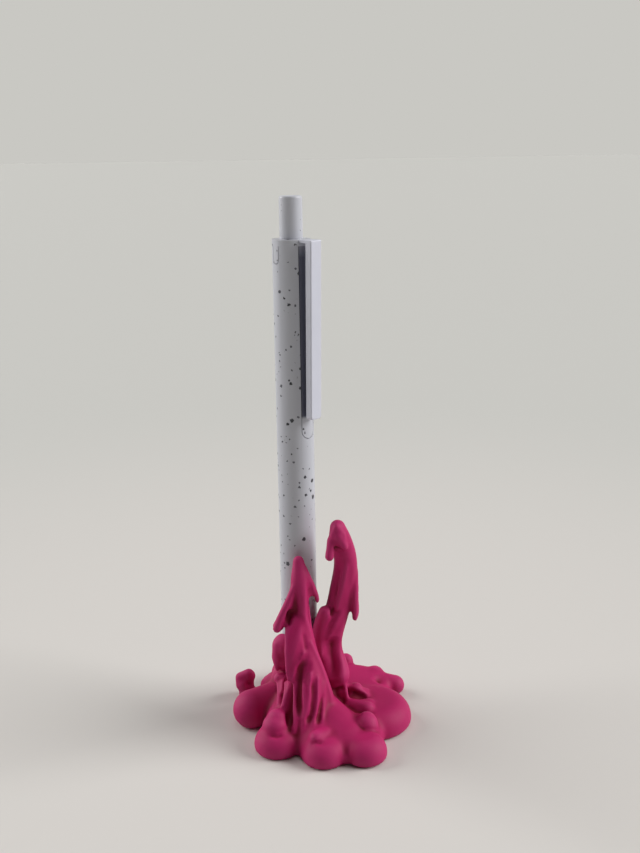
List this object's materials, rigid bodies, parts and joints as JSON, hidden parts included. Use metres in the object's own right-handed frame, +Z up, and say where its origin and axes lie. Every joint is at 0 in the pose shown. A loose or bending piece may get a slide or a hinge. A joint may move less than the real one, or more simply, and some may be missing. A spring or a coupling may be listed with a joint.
{
  "type": "pen stand",
  "caption": "Pen stand shaped like a puddle of melting goo, with dripping spires round an upright socket, holding a retractable ballpoint pen that lifts out.",
  "frame": {"origin": "on the stand's flat underside, under the pen's axis", "axes": "+Z up along the pen, -Y towards the front of the stand, where the front spire rises"},
  "size_m": [0.0524, 0.0553, 0.1497],
  "materials": {
    "goo_plastic": "matte printed plastic",
    "speckled_plastic": "satin white with sparse dark flecks",
    "white_plastic": "satin plain white",
    "inner_plastic": "plain moulded plastic",
    "spring_steel": "drawn steel wire",
    "tube_plastic": "smooth extruded tube",
    "tip_brass": "turned brass",
    "ball_steel": "polished ball",
    "ink": "dark wet ink"
  },
  "bodies": {
    "stand": {"goo_stand": "goo_plastic"},
    "pen": {"barrel": "speckled_plastic", "clip_cap": "speckled_plastic", "guide_sleeve": "inner_plastic", "return_spring": "spring_steel"},
    "clip": {"clip": "white_plastic"},
    "plunger": {"plunger": "speckled_plastic"},
    "refill": {"cam_rotor": "inner_plastic", "refill_tube": "tube_plastic", "refill_plug": "inner_plastic", "refill_tip": "tip_brass", "ink_column": "ink"},
    "ball": {"writing_ball": "ball_steel"}
  },
  "joints": [
    {"name": "pen_lift", "type": "slide", "parent": "stand", "child": "pen", "axis": [0, 0, 1], "range_m": [0, 0.06]},
    {"name": "plunger_press", "type": "slide", "parent": "pen", "child": "plunger", "axis": [0, 0, -1], "range_m": [0, 0.005], "stiffness_N_per_m": 150, "springref_m": -0.01},
    {"name": "refill_feed", "type": "slide", "parent": "pen", "child": "refill", "axis": [0, 0, -1], "range_m": [0, 0.005], "deforming": ["return_spring"]},
    {"name": "clip_flex", "type": "hinge", "parent": "pen", "child": "clip", "pos_m": [0.00368, -0.00331, 0.13812], "axis": [-0.6691, -0.7431, 0], "range_deg": [0, 4], "stiffness_Nm_per_rad": 0.05, "springref_deg": -5.73},
    {"name": "ball_roll", "type": "hinge", "parent": "refill", "child": "ball", "pos_m": [0, 0, 0.00885], "axis": [1, 0, 0], "continuous": true}
  ],
  "couplings": [
    {"joint": "refill_feed", "follows": "plunger_press", "ratio": 1}
  ]
}
